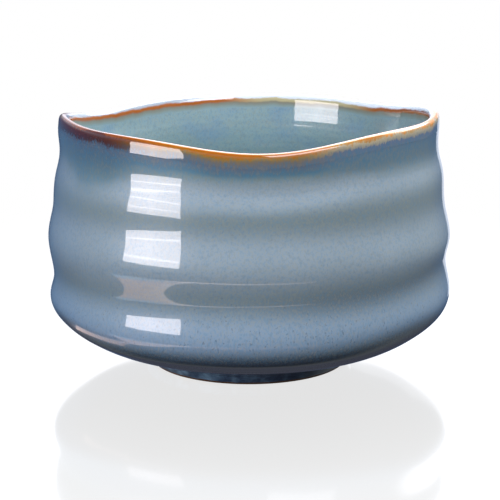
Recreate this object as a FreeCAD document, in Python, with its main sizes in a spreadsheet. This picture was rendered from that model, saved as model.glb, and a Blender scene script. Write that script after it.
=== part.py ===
import FreeCAD, Part
import math
import os
import Sketcher

# A hand-thrown tea bowl: a stoneware body with three throwing rings and a wavy lip,
# a low foot ring luted under it, and the glaze coats that cover them both.
# Origin at the centre of the foot's contact ring, +Z up, millimetres.
# Bearings start at the front of the bowl, on -Y, and run anticlockwise seen from above.

Vector = FreeCAD.Vector
doc = FreeCAD.newDocument("TeaBowl")
sheet = doc.addObject("Spreadsheet::Sheet", "Sizes")

# A pull is a control point of the thrown curve, where the potter's fingers pressed.
# A step is the height of a pull above the one before it, the first above the foot ring.
# A wall is the thickness of clay and both coats, measured across from the pull outside.
sizes = [
    ("foot_height", 2.85),
    ("foot_contact_radius", 28.6),
    ("foot_wall", 4.4),
    ("foot_chamfer", 0.5),
    ("foot_draft", 0.7),
    ("foot_flare", 0.9),
    ("haunch_start_radius", 37.2),
    ("haunch_start_step", 2.5),
    ("haunch_low_radius", 47.1),
    ("haunch_low_step", 3.0),
    ("haunch_mid_radius", 52.9),
    ("haunch_mid_step", 3.7),
    ("haunch_top_radius", 58.7),
    ("haunch_top_step", 4.6),
    ("low_ring_radius", 60.7),
    ("low_ring_step", 5.9),
    ("low_hollow_radius", 57.4),
    ("low_hollow_step", 7.6),
    ("mid_ring_radius", 61.0),
    ("mid_ring_step", 8.9),
    ("top_hollow_radius", 57.5),
    ("top_hollow_step", 9.4),
    ("top_ring_radius", 57.9),
    ("top_ring_step", 8.2),
    ("neck_start_step", 4.7),
    ("neck_end_step", 5.7),
    ("lip_radius", 55.9),
    ("lip_step", 6.45),
    ("lip_wall", 4.3),
    ("lip_crown", 1.9),
    ("lip_band_depth", 3.6),
    ("lean_height", 1.15),
    ("lean_bearing", 32),
    ("oval_height", 1.1),
    ("oval_bearing", 100),
    ("swell_height", 1.3),
    ("swell_bearing", 62),
    ("well_floor", 5.6),
    ("well_dish", 0.8),
    ("well_flat_radius", 16.0),
    ("well_edge_radius", 31.0),
    ("turn_wall", 3.1),
    ("turn_floor", 3.9),
    ("haunch_wall", 5.3),
    ("ring_wall", 5.9),
    ("hollow_wall", 4.4),
    ("outer_coat", 0.6),
    ("inner_coat", 0.5),
    ("lip_coat", 0.6),
    ("foot_coat", 0.4),
    ("base_coat", 0.4),
    ("clay_lip_paring", 1.0),
    ("cut_overrun", 3.0),
]
for row, (name, value) in enumerate(sizes, 1):
    sheet.set("A" + str(row), str(value))
    sheet.setAlias("A" + str(row), name)
doc.recompute()


def size(name):
    """The number that the sheet holds under a name."""
    return float(sheet.get(name))


def stacked(names):
    """The height of each named place, a named step above the place before it."""
    heights = {}
    total = "Sizes.foot_height"
    for name in names:
        total += " + Sizes." + name + "_step"
        heights[name] = "(" + total + ")"
    return heights


def moved(place, outward, upward):
    """The same place, moved away from the axis and up by two expressions."""
    return "(%s + %s)" % (place[0], outward), "(%s + %s)" % (place[1], upward)


def beside(pulls, number, share=0):
    """A place on the smooth cubic curve that the pulls draw in.

    Share 0 lies beside the pull of that number, and 1 beside the next.
    """
    rest = 1 - share
    weight_shares = (
        rest ** 3 / 6,
        (3 * share ** 3 - 6 * share ** 2 + 4) / 6,
        (3 * rest ** 3 - 6 * rest ** 2 + 4) / 6,
        share ** 3 / 6,
    )
    place = []
    for axis in (0, 1):
        terms = [str(weight) + " * " + pull[axis]
                 for weight, pull in zip(weight_shares, pulls[number - 1:number + 3])
                 if weight]
        place.append("(" + " + ".join(terms) + ")")
    return tuple(place)


def thrown(pulls, bands):
    """Corners along the curve, each numbered span in its own count of turned bands."""
    return [beside(pulls, number, band / count)
            for number, count in bands.items() for band in range(count)]


def under_coat(pulls, bands, coat, shares):
    """Corners of the clay along the curve, set back from it by shares of the coat.

    Each numbered span has two shares, away from the axis and up.
    """
    return [moved(beside(pulls, number, band / count), "%s * Sizes.%s" % (shares[number][0], coat),
                  "%s * Sizes.%s" % (shares[number][1], coat))
            for number, count in bands.items() for band in range(count)]


def new_half_section(body):
    """An empty sketch on the body's upright plane: across is the radius, up is the height."""
    sketch = body.newObject("Sketcher::SketchObject", body.Name + "Section")
    plane = [item for item in body.Origin.OriginFeatures if item.Role == "XZ_Plane"][0]
    sketch.AttachmentSupport = (plane, [""])
    sketch.MapMode = "FlatFace"
    return sketch


def pin(sketch, line, place):
    """Hold the start of a line of the sketch at a place that the sheet decides."""
    for kind, axis_line, expression in zip(("DistanceX", "DistanceY"), (-2, -1), place):
        if expression == "0":
            sketch.addConstraint(Sketcher.Constraint("PointOnObject", line, 1, axis_line))
            continue
        value = sketch.evalExpression(expression)
        number = sketch.addConstraint(Sketcher.Constraint(kind, -1, 1, line, 1, value))
        sketch.setExpression("Constraints[" + str(number) + "]", expression)


def turned(name, corners):
    """A body of revolution about the bowl's axis, from the corners of its half section."""
    body = doc.addObject("PartDesign::Body", name)
    sketch = new_half_section(body)
    points = [Vector(*[sketch.evalExpression(text) for text in corner], 0)
              for corner in corners]
    lines = [sketch.addGeometry(Part.LineSegment(start, end))
             for start, end in zip(points, points[1:] + points[:1])]
    for line, after, corner in zip(lines, lines[1:] + lines[:1], corners):
        sketch.addConstraint(Sketcher.Constraint("Coincident", line, 2, after, 1))
        pin(sketch, line, corner)
    revolution = body.newObject("PartDesign::Revolution", name + "Turned")
    revolution.Profile = (sketch, [""])
    revolution.ReferenceAxis = (sketch, ["V_Axis"])
    revolution.Angle = 360
    body.Tip = revolution
    doc.recompute()
    return body


# The lip's wave: a lean to one side, an oval of two crests and a swell of three.
waves = [(1, "lean"), (2, "oval"), (3, "swell")]


def wave_height(bearing):
    """How far the lip stands above or below its mean height at a bearing in radians."""
    total = 0
    for crests, name in waves:
        peak = math.radians(size(name + "_bearing"))
        total += size(name + "_height") * math.cos(crests * (bearing - peak))
    return total


def wave_ring(radius, level=0):
    """A closed curve of one radius that rises and falls with the lip, from +X round."""
    steps = 16
    points = []
    for step in range(steps):
        angle = 2 * math.pi * step / steps
        bearing = angle + math.pi / 2
        points.append(Vector(radius * math.cos(angle), radius * math.sin(angle),
                             level + wave_height(bearing)))
    curve = Part.BSplineCurve()
    curve.interpolate(points, PeriodicFlag=True)
    return Part.Wire(curve.toShape())


def at_lip(name, shape, drop):
    """A shape made round the lip's mean height, set that far below it on the bowl."""
    item = doc.addObject("Part::Feature", name)
    item.Shape = shape
    item.setExpression("Placement.Base.z", LIP + " - " + drop)
    return item


def wave_cutter(name, drop):
    """A ring-shaped block whose underside follows the lip's wave, level across the wall."""
    inside = wave_ring(size("lip_radius") - size("lip_wall") - size("cut_overrun"))
    outside = wave_ring(size("lip_radius") + size("cut_overrun"))
    underside = Part.makeRuledSurface(inside.Edges[0], outside.Edges[0])
    reach = 2 * sum(size(wave + "_height") for crests, wave in waves)
    block_height = reach + size("lip_band_depth") + size("cut_overrun")
    return at_lip(name, underside.extrude(Vector(0, 0, block_height)), drop)


def rimmed(name, base, drop):
    """A turned body with its rim cut to the wave, that far below the lip."""
    result = doc.addObject("Part::Cut", name)
    result.Base = base
    result.Tool = wave_cutter(name + "Cutter", drop)
    doc.recompute()
    return result


def pared(name, base, amount):
    """The two edges of a wavy rim pared off at a slant."""
    result = doc.addObject("Part::Chamfer", name)
    result.Base = base
    neck = base.evalExpression(NECK)
    result.Edges = [(number, amount, amount)
                    for number, edge in enumerate(base.Shape.Edges, 1)
                    if edge.isClosed() and edge.BoundBox.ZMin > neck]
    doc.recompute()
    return result


sub_parts = []


def finish(item, label):
    """Give a sub-part the name that its file will have."""
    item.Label = label
    sub_parts.append(item)


pull_names = ["haunch_start", "haunch_low", "haunch_mid", "haunch_top", "low_ring",
              "low_hollow", "mid_ring", "top_hollow", "top_ring"]
level = stacked(pull_names + ["neck_start", "neck_end", "lip"])
NECK = level["neck_end"]
LIP = level["lip"]
OUTER_LIP = "Sizes.lip_radius"
INNER_LIP = "(Sizes.lip_radius - Sizes.lip_wall)"
CLAY_OUTER_LIP = "(Sizes.lip_radius - Sizes.outer_coat)"
CLAY_INNER_LIP = "(Sizes.lip_radius - Sizes.lip_wall + Sizes.inner_coat)"
BLANK_TOP = "(" + LIP + " + Sizes.lean_height + Sizes.oval_height + Sizes.swell_height)"
FOOT_SEAM = "(Sizes.foot_contact_radius + Sizes.foot_flare)"
FLOOR = "(Sizes.foot_height + Sizes.well_floor)"

foot_seam_place = (FOOT_SEAM, "Sizes.foot_height")
outer_pulls = [moved(foot_seam_place, "Sizes.outer_coat", "0")]
outer_pulls += [("Sizes." + name + "_radius", level[name]) for name in pull_names]
outer_pulls += [(OUTER_LIP, level["neck_start"]), (OUTER_LIP, NECK)]

inner_pulls = [
    ("0", FLOOR),
    ("Sizes.well_flat_radius", FLOOR),
    ("Sizes.well_edge_radius", "(" + FLOOR + " + Sizes.well_dish)"),
    moved(outer_pulls[2], "-Sizes.turn_wall", "Sizes.turn_floor"),
]
walls = {4: "haunch_wall", 5: "ring_wall", 6: "hollow_wall", 7: "ring_wall",
         8: "hollow_wall", 9: "ring_wall", 10: "lip_wall", 11: "lip_wall"}
inner_pulls += [moved(outer_pulls[number], "-Sizes." + wall, "0")
                for number, wall in walls.items()]

# Turned bands on each span of the curves, more of them where the wall bends most.
outer_bands = {1: 1, 2: 2, 3: 2, 4: 2, 5: 2, 6: 2, 7: 2, 8: 1, 9: 1, 10: 1}
inner_bands = {2: 1, 3: 3, 4: 2, 5: 1, 6: 1, 7: 1, 8: 1, 9: 1, 10: 1}
outer_outline = ([outer_pulls[0]] + thrown(outer_pulls, outer_bands)
                 + [(OUTER_LIP, NECK), (OUTER_LIP, BLANK_TOP)])
inner_outline = ([inner_pulls[0], ("Sizes.well_flat_radius", FLOOR)]
                 + thrown(inner_pulls, inner_bands)
                 + [(INNER_LIP, NECK), (INNER_LIP, BLANK_TOP)])

# The clay under the coats, which run thicker into the hollows outside.
clay_outer_bands = {1: 1, 2: 1, 3: 1, 4: 1, 5: 2, 6: 1, 7: 1, 8: 1, 9: 1, 10: 1}
outer_coat_shares = {1: (0, 1), 2: (0, 1), 3: (-0.7, 0.8), 4: (-1.2, 0.3), 5: (-1.1, 0),
                     6: (-1.7, 0), 7: (-1, 0), 8: (-1.7, 0), 9: (-1, 0), 10: (-1, 0)}
inner_coat_shares = {2: (0, -1), 3: (0, -1), 4: (0.8, -0.4), 5: (1, 0), 6: (1, 0), 7: (1, 0),
                     8: (1, 0), 9: (1, 0), 10: (1, 0)}
clay_outside = ([foot_seam_place]
                + under_coat(outer_pulls, clay_outer_bands, "outer_coat", outer_coat_shares)
                + [(CLAY_OUTER_LIP, NECK), (CLAY_OUTER_LIP, BLANK_TOP)])
CLAY_FLOOR = "(" + FLOOR + " - Sizes.inner_coat)"
clay_inside = ([("0", CLAY_FLOOR), ("Sizes.well_flat_radius", CLAY_FLOOR)]
               + under_coat(inner_pulls, inner_bands, "inner_coat", inner_coat_shares)
               + [(CLAY_INNER_LIP, NECK), (CLAY_INNER_LIP, BLANK_TOP)])

# The body: turned clay, its rim cut to the wave and both edges of the rim pared off.
clay_blank = turned("ClayBlank", ([("0", "Sizes.foot_height")] + clay_outside
                                  + clay_inside[::-1]))
clay_rim = rimmed("ClayRim", clay_blank, "Sizes.lip_coat")
clay_body = pared("ClayBody", clay_rim, size("clay_lip_paring"))
finish(clay_body, "clay_body")

# The outer coat: poured over the wall, from the seam up to the lip's band.
outer_blank = turned("OuterCoatBlank", outer_outline + clay_outside[::-1])
finish(rimmed("OuterCoat", outer_blank, "Sizes.lip_band_depth"), "outer_glaze")

# The inner coat: poured in and rolled round, from the well up to the lip's band.
inner_blank = turned("InnerCoatBlank", inner_outline + clay_inside[::-1])
finish(rimmed("InnerCoat", inner_blank, "Sizes.lip_band_depth"), "inner_glaze")

# The lip's coat: a band of iron glaze rounded over the clay's rim.
# A bead is carried round the wave, and the clay that it covers is cut out of it.
outer_side = size("lip_radius")
inner_side = outer_side - size("lip_wall")
band_bottom = -size("lip_band_depth")
lip_middle = (outer_side + inner_side) / 2
half_wall = size("lip_wall") / 2
crown_steps = 5
bead_section = [(outer_side, band_bottom)]
for step in range(crown_steps + 1):
    turn = math.pi * step / crown_steps
    bead_section.append((lip_middle + half_wall * math.cos(turn),
                         size("lip_crown") * (math.sin(turn) - 1)))
bead_section.append((inner_side, band_bottom))
bead_rings = [wave_ring(radius, level) for radius, level in bead_section]
lip_coat = doc.addObject("Part::Cut", "LipCoat")
lip_coat.Base = at_lip("LipBead", Part.makeLoft(bead_rings, True, True, True), "0")
lip_coat.Tool = clay_body
finish(lip_coat, "lip_glaze")

# The foot ring: a coil of clay luted under the body and turned, its outer edge left bare.
FOOT_SIDE = "(Sizes.foot_contact_radius + Sizes.foot_chamfer)"
FOOT_INSIDE = "(Sizes.foot_contact_radius - Sizes.foot_wall)"
FOOT_INSIDE_TOP = "(Sizes.foot_contact_radius - Sizes.foot_wall - Sizes.foot_draft)"
foot_side_line = [foot_seam_place,
                  (FOOT_SIDE, "Sizes.foot_chamfer")]
finish(turned("FootRing", foot_side_line + [
    ("Sizes.foot_contact_radius", "0"),
    (FOOT_INSIDE, "0"),
    (FOOT_INSIDE_TOP, "Sizes.foot_height"),
]), "foot_ring")

# The foot's coat: a dark run of glaze on its outer side, stopping at the bare edge.
finish(turned("FootCoat", foot_side_line + [
    moved(foot_side_line[1], "Sizes.foot_coat", "Sizes.foot_coat"),
    moved(foot_side_line[0], "Sizes.foot_coat", "0"),
]), "foot_glaze")

# The base's coat: a thin disc of glaze under the body, inside the foot ring.
BASE_LEVEL = "(Sizes.foot_height - Sizes.base_coat)"
BASE_EDGE = "(%s + Sizes.foot_draft * Sizes.base_coat / Sizes.foot_height)" % FOOT_INSIDE_TOP
finish(turned("BaseCoat", [
    ("0", "Sizes.foot_height"),
    (FOOT_INSIDE_TOP, "Sizes.foot_height"),
    (BASE_EDGE, BASE_LEVEL),
    ("0", BASE_LEVEL),
]), "base_glaze")

doc.recompute()
for item in doc.Objects:
    if "Invalid" in item.State or "Error" in item.State:
        raise RuntimeError(item.Name + " failed: " + str(item.State))
for item in sub_parts:
    if item.Shape.isNull() or not item.Shape.isValid() or len(item.Shape.Solids) != 1:
        raise RuntimeError(item.Label + " is not one valid solid")

os.makedirs("parts", exist_ok=True)
for item in sub_parts:
    item.Shape.exportStep("parts/" + item.Label + ".step")
    box = item.Shape.BoundBox
    print(item.Label, "volume", round(item.Shape.Volume, 1), "height",
          round(box.ZMin, 2), round(box.ZMax, 2), "across", round(box.XLength, 2))
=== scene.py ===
import math

import bmesh
import bpy
import mathutils
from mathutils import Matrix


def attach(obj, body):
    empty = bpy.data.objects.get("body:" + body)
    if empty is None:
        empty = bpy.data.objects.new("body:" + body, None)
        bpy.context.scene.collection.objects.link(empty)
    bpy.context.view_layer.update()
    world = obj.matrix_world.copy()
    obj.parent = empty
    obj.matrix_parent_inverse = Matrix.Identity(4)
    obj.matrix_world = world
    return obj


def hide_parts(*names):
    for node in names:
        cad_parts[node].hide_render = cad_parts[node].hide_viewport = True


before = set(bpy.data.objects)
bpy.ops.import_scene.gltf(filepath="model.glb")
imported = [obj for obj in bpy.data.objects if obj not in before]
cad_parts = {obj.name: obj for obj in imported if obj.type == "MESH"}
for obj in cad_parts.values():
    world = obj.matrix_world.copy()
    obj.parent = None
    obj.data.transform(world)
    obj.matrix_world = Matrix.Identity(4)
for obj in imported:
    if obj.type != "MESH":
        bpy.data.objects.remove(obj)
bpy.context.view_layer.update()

# The clay body is stoneware, thrown on a wheel in one piece: floor, haunch, three soft rings
# and a lip pared to a slow wave. The potter's pulls, the turning and the hand's own drift are
# set here, and every coat of glaze on the bowl follows them.
MM = 0.001
TURN = 2 * math.pi
AROUND = 320
LIP_HEIGHT = 73.5
LIP_SEAM = 69.6
LIP_RADIUS = 55.95
FOOT_HEIGHT = 2.85
CLAY_BACK = 0.55
outer_pulls = [(30.2, FOOT_HEIGHT), (37.2, 5.35), (47.1, 8.35), (52.9, 12.05), (58.7, 16.65),
               (60.7, 22.55), (57.4, 30.15), (61.0, 39.05), (57.5, 48.45), (57.9, 56.65),
               (55.9, 61.35), (55.7, 66.0), (LIP_RADIUS, LIP_SEAM), (LIP_RADIUS, 71.6)]
lip_pulls = [(LIP_RADIUS, 67.6), (LIP_RADIUS, LIP_SEAM), (LIP_RADIUS, 71.3), (LIP_RADIUS, 72.5),
             (55.6, 73.4), (54.8, 73.75), (53.9, 73.6), (53.15, 73.05), (52.8, 72.2),
             (52.7, 71.1), (52.5, LIP_SEAM), (52.2, 67.8)]
inner_pulls = [(52.7, 71.4), (52.5, LIP_SEAM), (51.85, 66.0), (51.3, 61.5), (51.25, 57.0),
               (52.2, 52.8), (53.1, 47.5), (55.0, 39.1), (53.1, 30.3), (54.9, 22.6), (52.3, 16.8),
               (46.9, 13.3), (39.0, 11.2), (31.0, 9.5), (23.5, 8.7), (16.0, 8.45),
               (8.0, 8.42), (0.0, 8.4), (-8.0, 8.42)]


def pulled(pulls, steps):
    """A smooth line drawn in by pulls, as a cubic spline that eases past each of them."""
    line = []
    for a, b, c, d in zip(pulls, pulls[1:], pulls[2:], pulls[3:]):
        for step in range(steps):
            s = step / steps
            weights = ((1 - s) ** 3 / 6, (3 * s ** 3 - 6 * s ** 2 + 4) / 6,
                       (1 + 3 * s + 3 * s ** 2 - 3 * s ** 3) / 6, s ** 3 / 6)
            line.append(tuple(sum(w * p[i] for w, p in zip(weights, (a, b, c, d)))
                              for i in (0, 1)))
    line.append(tuple((pulls[-3][i] + 4 * pulls[-2][i] + pulls[-1][i]) / 6 for i in (0, 1)))
    return line


def set_back(line, depth):
    """The same line moved into the clay by a coat's depth."""
    moved = []
    for i, (r, z) in enumerate(line):
        before, after = line[max(i - 1, 0)], line[min(i + 1, len(line) - 1)]
        along = (after[0] - before[0], after[1] - before[1])
        length = math.hypot(*along)
        moved.append((max(r - depth * along[1] / length, 0.0), z + depth * along[0] / length))
    return moved


def turned(name, *runs):
    """A closed shell turned about the axis. Each run is one smooth skin; the runs meet in edges."""
    points, corners = [], set()
    for run in runs:
        corners.add(len(points))
        points.extend(run)
        corners.add(len(points) - 1)
    closed = points[0][0] > 1e-6 or points[-1][0] > 1e-6
    verts, rings = [], []
    for r, z in points:
        if r <= 1e-6:
            rings.append([len(verts)] * AROUND)
            verts.append((0, 0, z * MM))
            continue
        rings.append(range(len(verts), len(verts) + AROUND))
        verts.extend((r * MM * math.sin(TURN * k / AROUND), -r * MM * math.cos(TURN * k / AROUND),
                      z * MM) for k in range(AROUND))
    faces = []
    pairs = list(zip(rings, rings[1:])) + ([(rings[-1], rings[0])] if closed else [])
    for low, high in pairs:
        for k in range(AROUND):
            n = (k + 1) % AROUND
            face = [low[k], low[n], high[n], high[k]]
            face = [v for i, v in enumerate(face) if v != face[i - 1]]
            if len(face) > 2:
                faces.append(face)
    mesh = bpy.data.meshes.new(name)
    mesh.from_pydata(verts, [], faces)
    work = bmesh.new()
    work.from_mesh(mesh)
    work.verts.ensure_lookup_table()
    bmesh.ops.recalc_face_normals(work, faces=work.faces)
    corner_of = {v: i for i in corners for v in rings[i]}
    for edge in work.edges:
        a, b = (corner_of.get(v.index) for v in edge.verts)
        edge.smooth = a is None or a != b
    for face in work.faces:
        face.smooth = True
    work.to_mesh(mesh)
    work.free()
    piece = bpy.data.objects.new(name, mesh)
    bpy.context.scene.collection.objects.link(piece)
    return piece


class Tone:
    """A value, vector or colour in a node tree. Plain signs between two tones add Math nodes."""

    def __init__(self, tree, socket=None):
        self.tree = tree
        self.socket = socket

    def node(self, kind, settings=None, inputs=None, output=0):
        made = self.tree.nodes.new(kind)
        for name, value in (settings or {}).items():
            if name == "stops":
                ramp = made.color_ramp
                while len(ramp.elements) < len(value):
                    ramp.elements.new(1.0)
                for stop, (place, colour) in zip(ramp.elements, value):
                    stop.position = place
                    stop.color = colour
            else:
                setattr(made, name, value)
        for key, value in (inputs or {}).items():
            if isinstance(value, Tone):
                self.tree.links.new(value.socket, made.inputs[key])
            else:
                made.inputs[key].default_value = value
        return Tone(self.tree, made.outputs[output])

    def math(self, operation, *others):
        return self.node("ShaderNodeMath", {"operation": operation},
                         dict(enumerate((self,) + others)))

    def __add__(self, other):
        return self.math("ADD", other)

    def __sub__(self, other):
        return self.math("SUBTRACT", other)

    def __rsub__(self, other):
        return self.math("MULTIPLY", -1.0).math("ADD", other)

    def __mul__(self, other):
        return self.math("MULTIPLY", other)

    def __truediv__(self, other):
        return self.math("DIVIDE", other)

    __radd__ = __add__
    __rmul__ = __mul__


def eased(value, start, end):
    """0 before start, 1 past end, and a soft step between them."""
    return value.node("ShaderNodeMapRange", {"interpolation_type": "SMOOTHSTEP"},
                      {0: value, 1: start, 2: end, 3: 0.0, 4: 1.0})


def bump_at(value, centre, width):
    """A smooth swell of height 1 round a centre."""
    near = (value - centre) / width
    return (near * near * -1.0).math("EXPONENT")


def split(at):
    """The x, y and z of a vector."""
    return [at.node("ShaderNodeSeparateXYZ", None, {0: at}, axis) for axis in "XYZ"]


# Where the hand pressed or pulled the wall: a height and a reach up and down from it
LOW_HOLLOW = (30 * MM, 7 * MM)
TOP_HOLLOW = (56 * MM, 7 * MM)
RING_FALL = (18 * MM, 5.5 * MM)
RING_LEAN = (25 * MM, 6 * MM)
RING_BELLY = (20 * MM, 5 * MM)
RING_DISH = (25 * MM, 4.5 * MM)
LIP_FLARE = (68 * MM, 3.5 * MM)
NECK_FLARE = (52 * MM, 4 * MM)
NECK_SHARE = 0.6
FALL_BEARING = -8
# Each wave of the lip: how high it rises in millimetres, and the bearing of its crest
LIP_WAVES = [(1.10, 31), (1.09, -159), (1.23, -176), (0.19, 38), (0.26, -151), (0.42, -148)]
HAND_SIZES = {"Wave Start": 50 * MM, "Wave End": 68 * MM, "Low Hollow Drift": 1.8 * MM,
              "Top Hollow Drift": 0.75 * MM, "Low Ring Drop": 2.6 * MM,
              "Low Ring Swell": 0.3 * MM, "Left Flare": 0.4 * MM, "Unevenness": 0.10 * MM,
              "Throwing Lines": 0.005 * MM, "Line Pitch": 2.4 * MM, "Run": 0.0, "Seed": 4.0}
for number, (rise, crest) in enumerate(LIP_WAVES, 1):
    HAND_SIZES[f"Wave {number} Rise"] = rise * MM
    HAND_SIZES[f"Wave {number} Crest"] = math.radians(crest)

hand = bpy.data.node_groups.new("thrown_by_hand", "GeometryNodeTree")
hand.interface.new_socket("Geometry", in_out="OUTPUT", socket_type="NodeSocketGeometry")
hand.interface.new_socket("Geometry", in_out="INPUT", socket_type="NodeSocketGeometry")
hand.interface.new_socket("Glaze", in_out="INPUT", socket_type="NodeSocketMaterial")
for label, size in HAND_SIZES.items():
    given_size = hand.interface.new_socket(label, in_out="INPUT", socket_type="NodeSocketFloat")
    given_size.default_value = size
clay = Tone(hand)
given = hand.nodes.new("NodeGroupInput")
sizes = {label: Tone(hand, given.outputs[label]) for label in HAND_SIZES}
place = clay.node("GeometryNodeInputPosition")
x, y, z = split(place)
bearing = x.math("ARCTAN2", y * -1.0)
radius = (x * x + y * y).math("SQRT") + 1e-7
lift = 0.0
for number in range(1, len(LIP_WAVES) + 1):
    turn = bearing * float(number) - sizes[f"Wave {number} Crest"]
    lift = turn.math("COSINE") * sizes[f"Wave {number} Rise"] + lift
lift = lift * eased(z, sizes["Wave Start"], sizes["Wave End"])
side = bearing.math("SINE")
drift = (bump_at(z, *LOW_HOLLOW) * side * side * sizes["Low Hollow Drift"]
         + bump_at(z, *TOP_HOLLOW) * sizes["Top Hollow Drift"]) * side
# The lowest ring falls towards the front. That fades out over the floor, which stays even
ahead = (eased((bearing - math.radians(FALL_BEARING)).math("COSINE"), 0.45, 1.0)
         * eased(radius, 15 * MM, 45 * MM))
drift = drift - bump_at(z, *RING_FALL) * ahead * sizes["Low Ring Drop"]
wander = clay.node("ShaderNodeTexNoise", {"noise_dimensions": "4D"},
                   {"Vector": place, "W": sizes["Seed"], "Scale": 42.0, "Detail": 1.0}) - 0.5
spiral = (z / sizes["Line Pitch"] + bearing / TURN) * TURN
swell = ((wander * 2.0 * sizes["Unevenness"]
          + spiral.math("SINE") * sizes["Throwing Lines"])
         * eased(z, FOOT_HEIGHT * MM, 12 * MM) * (1.0 - eased(z, 66 * MM, LIP_SEAM * MM))
         + (bump_at(z, *RING_LEAN) * side
            + (bump_at(z, *RING_BELLY) - bump_at(z, *RING_DISH)) * ahead)
         * sizes["Low Ring Swell"]
         + (bump_at(z, *LIP_FLARE) + bump_at(z, *NECK_FLARE) * NECK_SHARE)
         * eased(side * -1.0, 0.3, 1.0) * sizes["Left Flare"])
edge_run = clay.node("ShaderNodeTexNoise", {"noise_dimensions": "4D"},
                     {"Vector": place, "W": sizes["Seed"], "Scale": 190.0, "Detail": 2.0})
fall = edge_run * sizes["Run"] * (1.0 - eased(z, 0.0, FOOT_HEIGHT * MM))
offset = clay.node("ShaderNodeCombineXYZ", None,
                   {0: swell * x / radius, 1: swell * y / radius, 2: lift + drift + fall})
kept = clay.node("GeometryNodeStoreNamedAttribute", {"data_type": "FLOAT_VECTOR"},
                 {"Geometry": Tone(hand, given.outputs["Geometry"]), "Name": "thrown",
                  "Value": place})
shaped = clay.node("GeometryNodeSetPosition", None, {"Geometry": kept, "Offset": offset})
real = clay.node("GeometryNodeRealizeInstances", None, {"Geometry": shaped})
coated = clay.node("GeometryNodeSetMaterial", None,
                   {"Geometry": real, "Material": Tone(hand, given.outputs["Glaze"])})
hand.links.new(coated.socket, hand.nodes.new("NodeGroupOutput").inputs["Geometry"])


def thrown(piece, glaze, **changes):
    """Give a turned piece the hand's waves and drift, and leave it as a plain mesh."""
    modifier = piece.modifiers.new("hand", "NODES")
    modifier.node_group = hand
    for item in hand.interface.items_tree:
        if item.name == "Glaze":
            modifier[item.identifier] = glaze
        elif item.name in HAND_SIZES:
            modifier[item.identifier] = changes.get(item.name.replace(" ", "_"),
                                                    HAND_SIZES[item.name])
    graph = bpy.context.evaluated_depsgraph_get()
    mesh = bpy.data.meshes.new_from_object(piece.evaluated_get(graph),
                                           preserve_all_data_layers=True, depsgraph=graph)
    piece.modifiers.clear()
    piece.data = mesh
    mesh.name = piece.name


def pigment(red, green, blue):
    """A colour as a glaze chart gives it, 0 to 255, in linear light."""
    return tuple(c / 12.92 if c <= 0.04045 else ((c + 0.055) / 1.055) ** 2.4
                 for c in (red / 255, green / 255, blue / 255)) + (1.0,)


def mixed(share, first, second):
    """The first colour, going over to the second as share goes from 0 to 1."""
    return share.node("ShaderNodeMix", {"data_type": "RGBA"}, {0: share, 6: first, 7: second}, 2)


def grain(tone, at, scale, detail=2.0, stretch=(1.0, 1.0, 1.0), roughness=0.5):
    """Noise of a given fineness, drawn out along an axis where stretch is small."""
    vector = tone.node("ShaderNodeMapping", None, {"Vector": at, "Scale": stretch})
    return tone.node("ShaderNodeTexNoise", None, {"Vector": vector, "Scale": scale,
                                                  "Detail": detail, "Roughness": roughness})


def new_finish(name, coat, **constants):
    """A material whose constant values sit on its shader's own sockets."""
    material = bpy.data.materials.new(name)
    material.use_nodes = True
    shader = material.node_tree.nodes["Principled BSDF"]
    shader.inputs["Coat Weight"].default_value = coat
    for label, value in constants.items():
        shader.inputs[label.replace("_", " ")].default_value = value
    return material, Tone(material.node_tree), shader


def feed(tone, shader, **links):
    """Link varying values to the shader's sockets."""
    for label, value in links.items():
        tone.tree.links.new(value.socket, shader.inputs[label.replace("_", " ")])


def raised(tone, height, strength, depth):
    """A bump that stands up by a real depth."""
    return tone.node("ShaderNodeBump", None, {"Height": height, "Strength": strength,
                                              "Distance": depth})


# The skins meet at seams: at the foot's top, and outside and inside under the rounded rim
FOOT_SEAM = (30.9, FOOT_HEIGHT)
OUTER_SEAM = (LIP_RADIUS, LIP_SEAM)
INNER_SEAM = (52.48, LIP_SEAM)
SEAM_CLEARANCE = 0.05
outer_line = ([FOOT_SEAM, (34.3, 4.2)] + [p for p in pulled(outer_pulls, 10) if p[1] < LIP_SEAM]
              + [OUTER_SEAM])
lip_line = ([OUTER_SEAM] + [p for p in pulled(lip_pulls, 5) if p[1] > LIP_SEAM + SEAM_CLEARANCE]
            + [INNER_SEAM])
inner_line = [INNER_SEAM] + [p for p in pulled(inner_pulls, 10) if p[1] < LIP_SEAM]
skin = outer_line + lip_line[1:-1] + inner_line
back = set_back(skin, CLAY_BACK)
back[0] = (skin[0][0] - CLAY_BACK, FOOT_HEIGHT)
back[-1] = (0.0, skin[-1][1] - CLAY_BACK)
outer_back = back[:len(outer_line)]
lip_back = back[len(outer_line) - 1:len(outer_line) + len(lip_line) - 1]
inner_back = back[len(outer_line) + len(lip_line) - 2:]

stoneware, tone, shader = new_finish("stoneware", 0.0, Roughness=0.85)
at = tone.node("ShaderNodeTexCoord", None, None, "Object")
sand = grain(tone, at, 1400.0)
feed(tone, shader, Base_Color=mixed(sand, pigment(96, 74, 58), pigment(138, 112, 88)),
     Normal=raised(tone, sand, 0.5, 0.1 * MM))
body = turned("thrown_clay_body", back, [(0.0, FOOT_HEIGHT)])
thrown(body, stoneware)
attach(body, "root")
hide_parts("clay_body")

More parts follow.
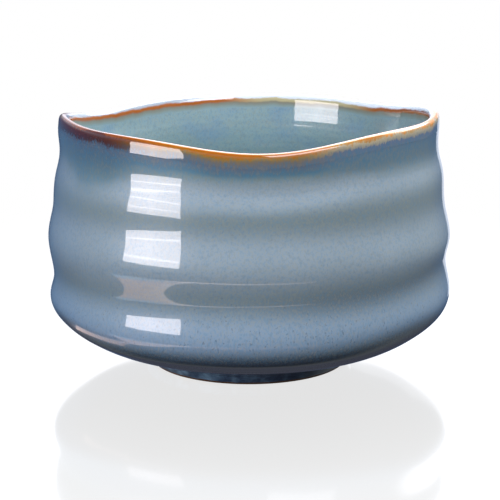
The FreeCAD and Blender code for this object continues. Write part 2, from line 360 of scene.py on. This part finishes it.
# The foot ring is a low ring of the same clay, luted under the floor and pared true. Its
# contact edge is wiped clean of glaze, so the iron in the bare clay fires dark brown.
ring_skin = [(24.0, FOOT_HEIGHT), (24.1, 1.6), (24.2, 0.7), (24.35, 0.3), (24.7, 0.06),
             (25.0, 0.0), (28.7, 0.0), (29.0, 0.06), (29.25, 0.22), (29.4, 0.5), (29.55, 1.2),
             (29.8, 2.0), (30.2, FOOT_HEIGHT)]
bare_clay, tone, shader = new_finish("bare_foot_clay", 0.0, Roughness=0.8)
at = tone.node("ShaderNodeTexCoord", None, None, "Object")
sand = grain(tone, at, 2600.0, 3.0)
flush = grain(tone, at, 160.0)
feed(tone, shader, Base_Color=mixed(sand, mixed(flush, pigment(44, 28, 24), pigment(92, 58, 40)),
                                    pigment(120, 84, 60)),
     Normal=raised(tone, sand, 0.6, 0.08 * MM))
ring = turned("foot_ring_clay", ring_skin)
thrown(ring, bare_clay, Unevenness=0.0, Throwing_Lines=0.0)
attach(ring, "root")
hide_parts("foot_ring")

# The outer coat is a blue-grey reactive glaze, dipped over the wall. It is thick and smooth,
# shows fine specks of iron, and breaks into blue and violet streaks where it thins at the lip.
def thrown_place(tone):
    """Where a point was on the wheel: its place, its bearing from the front and its height."""
    at = tone.node("ShaderNodeAttribute", {"attribute_name": "thrown"}, None, "Vector")
    x, y, z = split(at)
    return at, x.math("ARCTAN2", y * -1.0), z


def facing(bearing, centre, full, none):
    """1 within full degrees of a bearing, 0 beyond none degrees of it."""
    near = (bearing - math.radians(centre)).math("COSINE")
    return eased(near, math.cos(math.radians(none)), math.cos(math.radians(full)))


STAIN_REACH = 14.0


def washes(depth, *stops):
    """Washes of colour one above the other, each at its depth below the lip in millimetres."""
    return depth.node("ShaderNodeValToRGB", {"stops": [(place / STAIN_REACH, pigment(*colour))
                                                       for place, colour in stops]},
                      {0: depth / STAIN_REACH})


def wall_colour(clouds):
    """The wall's blue-grey, which drifts slowly."""
    return mixed(clouds, pigment(122, 136, 146), pigment(134, 148, 159))


def well_colour(clouds):
    """The inside's teal-grey, which drifts slowly."""
    return mixed(clouds, pigment(116, 144, 150), pigment(132, 154, 156))


def mottled(tone, at, main):
    """Fine crystals over a glaze: blue where it breaks, ochre between, and grey ones deeper."""
    fine = grain(tone, at, 2000.0, 2.0, (1.0, 1.0, 0.7))
    main = mixed(eased(fine, 0.50, 0.64) * 0.40, main, pigment(92, 126, 150))
    main = mixed(eased(1.0 - fine, 0.50, 0.64) * 0.32, main, pigment(134, 136, 128))
    deeper = grain(tone, at, 1100.0, 2.0, (1.0, 1.0, 0.8))
    return mixed(eased(deeper, 0.50, 0.68) * 0.30, main, pigment(96, 114, 128))


def lip_stain(tone, at, bearing, z, main):
    """The glaze's colours down from the lip, with a painted highlight on the lip's top at the back,
    over the main colour further down the wall.
    """
    strands = grain(tone, at, 1500.0, 3.0, (1.0, 1.0, 0.55), 0.65)
    tongues = grain(tone, at, 90.0, 2.0, (1.0, 1.0, 0.5))
    depth = (LIP_HEIGHT - z / MM) + (strands - 0.5) * 2.4 + (tongues - 0.5) * 3.0
    # Past 4 mm the stain is drawn out further down at the left front
    depth = depth - (depth - 4.0).math("MAXIMUM", 0.0) * facing(bearing, -38, 14, 34) * 0.35
    left = facing(bearing, -75, 28, 52)
    right = facing(bearing, 68, 34, 56)
    iron = washes(depth,
                  (0.0, (120, 58, 14)), (0.4, (76, 28, 18)), (2.7, (56, 28, 36)),
                  (3.5, (66, 76, 98)), (5.4, (66, 92, 112)), (8.5, (84, 108, 120)),
                  (11.5, (112, 128, 136)))
    amber = washes(depth,
                   (0.2, (154, 84, 0)), (1.0, (150, 92, 6)), (1.5, (128, 104, 58)),
                   (2.4, (100, 96, 92)), (4.0, (84, 94, 110)), (5.8, (72, 106, 126)),
                   (6.8, (104, 124, 130)), (8.2, (120, 133, 139)))
    cream = washes(depth,
                   (0.1, (164, 104, 34)), (0.6, (160, 124, 70)), (1.1, (160, 152, 130)),
                   (2.0, (136, 134, 124)), (2.5, (88, 104, 130)), (4.5, (86, 112, 132)),
                   (8.0, (92, 112, 124)), (11.0, (112, 130, 140)))
    stain = mixed(right, mixed(left, amber, iron), cream)
    # Painted highlight: at the back the lip's top edge is pale grey in place of the stain
    rear_highlight = facing(bearing, 180, 62, 88) * (1.0 - eased(depth, 0.8, 1.8))
    stain = mixed(rear_highlight, stain, pigment(136, 146, 154))
    flecks = eased(strands, 0.50, 0.62) * eased(depth, 2.0, 3.5)
    stain = mixed(flecks * 0.5, stain, pigment(62, 110, 136))
    warm = eased(1.0 - strands, 0.50, 0.62) * eased(depth, 2.0, 3.5)
    stain = mixed(warm * 0.34, stain, pigment(116, 120, 110))
    rust = grain(tone, at, 260.0, 3.0, (1.0, 1.0, 0.6), 0.6)
    rust = rust + facing(bearing, 88, 10, 40) * 0.1
    rusty = eased(rust, 0.57, 0.63) * right * (1.0 - eased(depth, 0.4, 1.4))
    stain = mixed(rusty * 0.9, stain, pigment(190, 120, 30))
    # The stain goes over to the main colour 11.5 mm down, and 3 mm higher at the front
    end = facing(bearing, -4, 20, 50) * -3.0 + 11.5
    past = ((depth - end) / 3.0 + 0.5).math("MINIMUM", 1.0).math("MAXIMUM", 0.0)
    return mixed(past, stain, main)


glaze, tone, shader = new_finish("blue_grey_glaze", 1.0, Roughness=0.34, Coat_Roughness=0.02,
                                 Coat_IOR=1.6, Specular_IOR_Level=0.3)
at, bearing, z = thrown_place(tone)
clouds = grain(tone, at, 60.0, 3.0, (1.0, 1.0, 1.6))
main = wall_colour(clouds)
# Painted shade: the wall's blue-grey is darker grey in the two hollows
hollow_shade = bump_at(z, 53.5 * MM, 4.0 * MM) + bump_at(z, 31.5 * MM, 4.5 * MM)
main = mixed(hollow_shade * 0.9, main, pigment(108, 122, 126))
# Painted shade: the low hollow is darker still towards the right
right_hollow_shade = bump_at(z, 30 * MM, 4.5 * MM) * facing(bearing, 50, 12, 55)
main = mixed(right_hollow_shade * 0.8, main, pigment(84, 96, 104))
low_ring = bump_at(z, 20 * MM, 8 * MM)
main = mixed(low_ring * 0.85, main, pigment(114, 137, 162))
# Painted shade: the haunch goes dark blue-grey where it turns under towards the foot
haunch_shade = eased(z, 22 * MM, 17.5 * MM)
main = mixed(haunch_shade * 0.9, main, pigment(50, 62, 74))
# Painted shade: the haunch is darker again towards the right
right_haunch_shade = eased(z, 24 * MM, 17 * MM) * facing(bearing, 60, 20, 75)
main = mixed(right_haunch_shade * 0.5, main, pigment(58, 70, 80))
main = mottled(tone, at, main)
specks = grain(tone, at, 1600.0, 1.0, (1.0, 1.0, 0.8))
low = 1.0 - eased(z, 18 * MM, 36 * MM)
main = mixed(eased(specks + low * 0.05, 0.685, 0.76) * (low * 0.25 + 0.2), main,
             pigment(60, 76, 94))
colour = lip_stain(tone, at, bearing, z, main)
feed(tone, shader, Base_Color=colour, Normal=raised(tone, clouds, 0.25, 0.1 * MM))
coat = turned("outer_blue_grey_glaze", outer_line, outer_back[::-1])
thrown(coat, glaze)
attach(coat, "root")
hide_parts("outer_glaze")

# The inside is coated in the same glaze, poured and swilled round, so it pools a little
# thicker and greener in the well. It meets the lip's band just under the rim.
def rim_line(tone, at, bearing, z, main):
    """The thin line of burnt iron on the rim's inner edge and the rim's pale top, which has a
    painted highlight at the back right, over the inside's own colour.
    """
    rust = grain(tone, at, 150.0, 3.0, (1.0, 1.0, 0.5), 0.6)
    depth = (LIP_HEIGHT - z / MM) + (rust - 0.5) * 1.6
    pale = facing(bearing, 160, 10, 30)
    line = mixed(pale, pigment(156, 82, 14), pigment(176, 164, 124))
    # Painted highlight: the rim's pale grey top goes over to near-white at the back right
    top = mixed(facing(bearing, 140, 45, 70), pigment(150, 158, 168), pigment(204, 210, 220))
    edge = mixed(eased(depth, 0.7, 1.3), top, line)
    soft = mixed(eased(depth, 2.2, 4.2), pigment(124, 122, 108), main)
    return mixed(eased(depth, 1.7, 2.5), edge, soft)


inside, tone, shader = new_finish("teal_grey_glaze", 1.0, Roughness=0.3, Coat_Roughness=0.02,
                                  Coat_IOR=1.6, Specular_IOR_Level=0.3)
at, bearing, z = thrown_place(tone)
clouds = grain(tone, at, 48.0, 3.0, (1.0, 1.0, 1.6))
patches = grain(tone, at, 75.0, 2.0)
main = well_colour(clouds)
main = mixed(eased(patches, 0.5, 0.66) * 0.6, main, pigment(104, 138, 164))
main = mixed(eased(patches, 0.44, 0.3) * 0.35, main, pigment(132, 140, 138))
well = 1.0 - eased(z, 9 * MM, 16 * MM)
main = mixed(well, main, pigment(98, 130, 134))
main = mottled(tone, at, main)
colour = rim_line(tone, at, bearing, z, main)
feed(tone, shader, Base_Color=colour, Normal=raised(tone, clouds, 0.25, 0.1 * MM))
pool = turned("inner_teal_glaze", inner_line, inner_back[::-1])
thrown(pool, inside, Throwing_Lines=0.012 * MM)
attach(pool, "root")
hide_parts("inner_glaze")

# The lip's band is the same glaze run thin over the edge, where the iron in the clay burns
# through: amber at the front, red-brown to the left, and cream with a broken amber line right.
band, tone, shader = new_finish("amber_iron_glaze", 1.0, Roughness=0.3, Coat_Roughness=0.02,
                                Coat_IOR=1.68, Specular_IOR_Level=0.02)
at, bearing, z = thrown_place(tone)
x, y, z = split(at)
clouds = grain(tone, at, 60.0, 3.0, (1.0, 1.0, 1.6))
outside = lip_stain(tone, at, bearing, z, wall_colour(clouds))
within = rim_line(tone, at, bearing, z, well_colour(clouds))
over_the_rim = eased((x * x + y * y).math("SQRT"), 53.2 * MM, 54.4 * MM)
feed(tone, shader, Base_Color=mixed(over_the_rim, within, outside))
lip = turned("lip_amber_glaze", lip_line, lip_back[::-1])
thrown(lip, band)
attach(lip, "root")
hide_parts("lip_glaze")

# The glaze that ran down over the foot ring's side is thicker and fires a mottled deep blue.
# It was wiped back from the table edge, which leaves a thin bare line of brown clay.
run_skin = [FOOT_SEAM, (30.55, 2.3), (30.2, 1.7), (29.95, 1.1), (29.75, 0.75),
            (29.55, 0.55)]
run_back = [(29.4, 0.6), (29.55, 1.2), (29.8, 2.0), (30.2, FOOT_HEIGHT)]
deep, tone, shader = new_finish("deep_blue_glaze", 1.0, Roughness=0.3, Coat_Roughness=0.03,
                                Coat_IOR=1.6, Specular_IOR_Level=0.3)
at, bearing, z = thrown_place(tone)
mottle = grain(tone, at, 300.0, 3.0)
blue = mixed(eased(mottle, 0.34, 0.68), pigment(66, 84, 108), pigment(132, 160, 184))
# Painted shade: the run goes darker towards the right
feed(tone, shader, Base_Color=mixed(facing(bearing, 55, 15, 75) * 0.8, blue,
                                    pigment(32, 42, 56)))
run = turned("foot_blue_glaze", run_skin, run_back)
thrown(run, deep, Unevenness=0.0, Throwing_Lines=0.0, Run=0.4 * MM)
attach(run, "root")
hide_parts("foot_glaze")

# Inside the foot ring the floor's underside has a thin wash of glaze, which lets the brown
# clay through in patches and has gathered in a small ridge against the ring.
base_skin = [(0.0, 2.45), (8.0, 2.45), (16.0, 2.44), (21.0, 2.42), (22.6, 2.3), (23.4, 2.05),
             (23.9, 1.65), (24.1, 1.3)]
base_back = [(24.08, 1.6), (24.0, FOOT_HEIGHT), (16.0, FOOT_HEIGHT), (0.0, FOOT_HEIGHT)]
wash, tone, shader = new_finish("thin_base_glaze", 0.9, Roughness=0.35, Coat_Roughness=0.05,
                                Coat_IOR=1.6, Specular_IOR_Level=0.3)
at, bearing, z = thrown_place(tone)
thin = grain(tone, at, 130.0, 3.0)
feed(tone, shader, Base_Color=mixed(eased(thin, 0.4, 0.62), pigment(104, 82, 68),
                                    pigment(104, 122, 130)))
base = turned("base_thin_glaze", base_skin, base_back)
thrown(base, wash, Unevenness=0.0, Throwing_Lines=0.0)
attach(base, "root")
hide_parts("base_glaze")

# The bowl stands on a plain white sweep of paper. The paper gives back a faint mirror of it
# near the foot, and stays out of the glaze, whose reflections come from the table's card.
def sheet(name, corners, faces):
    """A flat sheet, its bare material and the tone that builds on it."""
    mesh = bpy.data.meshes.new(name)
    mesh.from_pydata(corners, [], faces)
    made = bpy.data.objects.new(name, mesh)
    bpy.context.scene.collection.objects.link(made)
    finish = bpy.data.materials.new(name)
    finish.use_nodes = True
    finish.node_tree.nodes.clear()
    mesh.materials.append(finish)
    return made, Tone(finish.node_tree)


def finished(tone, surface):
    """Link a surface to its material's output."""
    tone.tree.links.new(surface.socket,
                        tone.tree.nodes.new("ShaderNodeOutputMaterial").inputs["Surface"])


SWEEP_REACH = 6
MIRROR_SHARE = 0.24
WHITE = (1.0, 1.0, 1.0, 1.0)
floor, tone = sheet("sweep", [(-SWEEP_REACH, -SWEEP_REACH, 0), (SWEEP_REACH, -SWEEP_REACH, 0),
                              (SWEEP_REACH, SWEEP_REACH, 0), (-SWEEP_REACH, SWEEP_REACH, 0)],
                    [(0, 1, 2, 3)])
x, y, z = split(tone.node("ShaderNodeTexCoord", None, None, "Object"))
away = (x * x + y * y).math("SQRT")
glow = tone.node("ShaderNodeEmission", None, {"Strength": 1.0, "Color": WHITE})
mirror = tone.node("ShaderNodeBsdfAnisotropic", None, {"Roughness": 0.08, "Color": WHITE})
near_foot = (1.0 - eased(away, 0.03, 0.24)) * MIRROR_SHARE
finished(tone, tone.node("ShaderNodeMixShader", None, {0: near_foot, 1: glow, 2: mirror}))
floor.visible_diffuse = floor.visible_glossy = floor.visible_shadow = False

# Plain soft studio light: softboxes at the left and high at the right, panels overhead, in
# front and at the right, and a narrow strip behind. Cards that show only in the glaze stand
# for the softboxes' faces and, just under the floor, for the lit round table.
def softbox(name, place, aim, wide, tall, power, colour, glossy=False):
    """A flat studio lamp facing a point. Only a glossy one shows in the glaze."""
    lamp = bpy.data.lights.new(name, "AREA")
    lamp.shape = "RECTANGLE"
    lamp.size = wide
    lamp.size_y = tall
    lamp.energy = power
    lamp.color = colour
    stand = bpy.data.objects.new(name, lamp)
    stand.location = place
    toward = mathutils.Vector(aim) - mathutils.Vector(place)
    stand.rotation_euler = toward.to_track_quat("-Z", "Y").to_euler()
    stand.visible_camera = False
    stand.visible_glossy = glossy
    bpy.context.scene.collection.objects.link(stand)


def reflector(name, corners, faces, glow_of):
    """A card or lamp face that shows only as a reflection in the glaze."""
    card, tone = sheet(name, corners, faces)
    place = split(tone.node("ShaderNodeTexCoord", None, None, "Object"))
    colour, strength = glow_of(*place)
    finished(tone, tone.node("ShaderNodeEmission", None, {"Color": colour, "Strength": strength}))
    card.visible_camera = card.visible_diffuse = card.visible_shadow = False


def upright(left, right, low, high):
    """The corners of a card that stands on edge over the line between two places."""
    return [left + (low,), right + (low,), right + (high,), left + (high,)]


def on_table(radius, bearing):
    """A point just under the floor, at a radius in metres and a bearing in degrees."""
    turn = math.radians(bearing)
    return (radius * math.sin(turn), -radius * math.cos(turn), -0.001)


def strip(points):
    """The faces of a strip whose points come in pairs along it."""
    return [(i, i + 1, i + 3, i + 2) for i in range(0, len(points) - 2, 2)]


TENT = (-0.213, -0.1655)
SEAM_WIDTH = 0.003
WARM_TABLE = (1.0, 0.66, 0.56, 1.0)
TABLE_EDGE = 0.134


def tent_glow(x, y, z):
    """The left softbox's cloth, a little brighter along its two seams and down its middle."""
    across = (x - TENT[0]) * 0.861 - (y - TENT[1]) * 0.508
    seams = (bump_at(z, 0.068, SEAM_WIDTH) + bump_at(z, 0.112, SEAM_WIDTH)) * 0.6
    seams = seams + bump_at(across, 0.0, 0.012) * 0.10
    return (0.96, 0.90, 0.93, 1.0), (seams + 1.0) * 7.9


def table_glow(x, y, z):
    """The lit round table: warm, with a cooler band along its rim, and brightest in front."""
    out = (x * x + y * y).math("SQRT")
    warm = mixed(eased(x, -0.085, -0.055), WARM_TABLE, (1.5, 1.2, 1.1, 1.0))
    rim = eased(out, 0.118, 0.124) * eased(x * -1.0, 0.06, 0.10)
    return mixed(rim, warm, (0.52, 0.72, 0.94, 1.0)), 2.1


softbox("left_fill", TENT + (0.09,), (-0.111, 0.0069, 0.09), 0.167, 0.10, 0.36,
        (0.90, 0.92, 1.0))
reflector("left_softbox_face", upright((-0.285, -0.123), (-0.141, -0.208), 0.036, 0.146),
          [(0, 1, 2, 3)], tent_glow)
reflector("right_softbox_face", upright((0.086, -0.443), (0.320, -0.260), 0.30, 0.90),
          [(0, 1, 2, 3)], lambda x, y, z: ((0.95, 0.92, 1.0, 1.0), 8.0))
# The near side of the lit table is the bowl's own shadow, as radius and bearing
shadow_edge = [(0.133, -67), (0.112, -60), (0.095, -53), (0.093, -48), (0.098, -40),
               (0.110, -35), (0.123, -30), (0.1275, -24), (0.129, -10), (0.130, 10),
               (0.132, 30)]
lit = [on_table(r, b) for shadow, b in shadow_edge for r in (shadow, TABLE_EDGE)]
reflector("lit_table", lit, strip(lit), table_glow)
# Further left the table is lit close to the bowl, over a strip that narrows towards the back
near = []
for turned_by in range(-85, -49, 5):
    inner = 0.070 + 0.0045 * (turned_by + 85) / 35
    outer = 0.086 + 0.009 * max(turned_by + 70, 0) / 20
    near += [on_table(inner, turned_by), on_table(outer, turned_by)]
reflector("near_table", near, strip(near), lambda x, y, z: ((1.0, 0.74, 0.68, 1.0), 2.0))

BOWL = (0, 0, 0.05)
softbox("overhead_panel", (0.0, 0.15, 0.75), BOWL, 0.6, 0.5, 2.5, (0.8, 0.9, 1.0))
softbox("front_panel", (0.0, -0.75, 0.75), BOWL, 0.7, 0.5, 7.7, (1.0, 0.93, 0.88))
softbox("right_panel", (0.65, -0.35, 0.6), BOWL, 0.5, 0.5, 4.3, (1.0, 0.98, 0.95))
softbox("right_strip", (0.15, 0.42, 0.02), (0, 0, 0.02), 0.16, 0.22, 0.09, (0.9, 0.93, 1.0),
        glossy=True)

room = bpy.data.worlds.new("studio")
bpy.context.scene.world = room
room.use_nodes = True
room.node_tree.nodes.clear()
tone = Tone(room.node_tree)
across, behind, up = split(tone.node("ShaderNodeTexCoord", None, None, "Generated"))
glow = tone.node("ShaderNodeValToRGB", {"stops": [
    (0.0, (0.05, 0.05, 0.08, 1)), (0.067, (0.02, 0.02, 0.03, 1)), (0.179, (0.16, 0.17, 0.17, 1)),
    (0.329, (0.06, 0.08, 0.13, 1)), (0.5, (0.19, 0.21, 0.20, 1)), (0.671, (0.56, 0.74, 0.96, 1)),
    (0.854, (0.10, 0.12, 0.16, 1)), (1.0, (0.05, 0.06, 0.10, 1))]},
    {0: up * 0.5 + 0.5})
floor_behind = eased(behind, 0.6, 0.9) * (1.0 - eased(up, -0.05, 0.05))
glow = mixed(floor_behind, glow,
             mixed(eased(up, -0.45, -0.3), (0.055, 0.058, 0.085, 1), (0.05, 0.095, 0.19, 1)))
left_behind = ((1.0 - eased(across, -0.5, -0.2)) * eased(behind, 0.1, 0.5)
               * (1.0 - eased(up, 0.1, 0.3)) * eased(up, -0.4, -0.2))
glow = mixed(left_behind, glow, (0.09, 0.17, 0.31, 1))
lower_edge = up + eased(behind, 0.85, 0.97) * eased(across, -0.2, -0.12) * 0.15
backdrop = (eased(behind, 0.15, 0.45) * eased(lower_edge, 0.08, 0.2)
            * (1.0 - eased(up, 0.35, 0.5)) * (eased(across, -0.25, -0.08) * 0.9 + 0.1)
            * (1.0 - eased(across, 0.13, 0.25) * 0.8))
glow = mixed(backdrop, glow, (1.4, 1.42, 1.6, 1))
ceiling = eased(across, -0.3, -0.1) * eased(up, 0.3, 0.4) * eased(behind, 0.1, 0.4)
glow = mixed(ceiling, glow, (7.0, 7.0, 7.4, 1))
seen = tone.node("ShaderNodeLightPath", None, None, "Is Camera Ray")
light = tone.node("ShaderNodeBackground", None, {"Color": glow, "Strength": 1.0})
plain = tone.node("ShaderNodeBackground", None, {"Color": WHITE, "Strength": 1.0})
shown = tone.node("ShaderNodeMixShader", None, {0: seen, 1: light, 2: plain})
room.node_tree.links.new(shown.socket,
                         room.node_tree.nodes.new("ShaderNodeOutputWorld").inputs["Surface"])
bpy.context.scene.view_settings.view_transform = "Standard"

# The camera stands half a metre in front of the bowl and looks a little down on it, with a
# long lens, as in the photograph.
CAMERA_BACK = 0.528
CAMERA_HEIGHT = 0.153
LOOKING_DOWN = 0.223
lens = bpy.data.cameras.new("front_view")
lens.sensor_width = 36.0
lens.lens = 129.74
lens.shift_x = 0.0017
lens.clip_start = 0.01
camera = bpy.data.objects.new("front_view", lens)
camera.location = (0.0, -CAMERA_BACK, CAMERA_HEIGHT)
camera.rotation_euler = (math.pi / 2 - LOOKING_DOWN, 0.0, 0.0)
bpy.context.scene.collection.objects.link(camera)
bpy.context.scene.camera = camera
